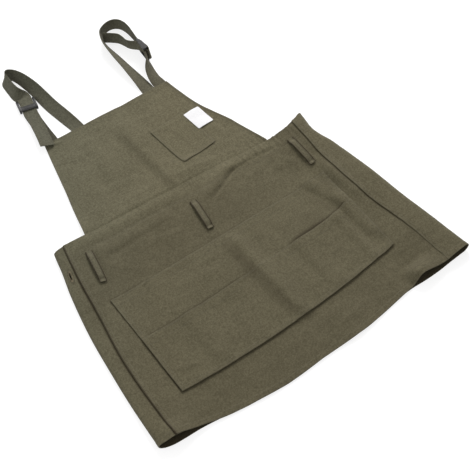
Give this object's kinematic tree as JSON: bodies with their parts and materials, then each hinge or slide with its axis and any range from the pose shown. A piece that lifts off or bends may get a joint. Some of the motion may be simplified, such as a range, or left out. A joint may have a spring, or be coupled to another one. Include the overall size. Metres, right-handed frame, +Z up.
{
  "type": "work apron",
  "caption": "Olive canvas work apron with bib, wrap-round skirt, wide front pocket, breast pocket, standing belt loops and buckled shoulder straps, lying face up with its sides turned under.",
  "frame": {"origin": "on the floor under the middle of the laid apron's box", "axes": "+Z up from the floor, +Y from the skirt's hem towards the bib and straps, +X to the right seen from above"},
  "size_m": [0.812, 1.0683, 0.0488],
  "materials": {
    "canvas": "washed plain-weave olive canvas",
    "webbing": "olive cotton webbing",
    "buckle": "satin black moulded plastic",
    "label": "blank white woven label"
  },
  "bodies": {
    "root": {"bib": "canvas", "skirt_front": "canvas", "side_panel_left": "canvas", "side_panel_right": "canvas", "pocket_upper": "canvas", "pocket_lower": "canvas", "breast_pocket": "canvas", "label": "label", "belt_loop_left": "webbing", "belt_loop_centre": "webbing", "belt_loop_right": "webbing", "tab_left": "webbing", "tab_right": "webbing", "strap_left": "webbing", "strap_right": "webbing", "buckle_left": "buckle", "buckle_right": "buckle"}
  },
  "joints": []
}
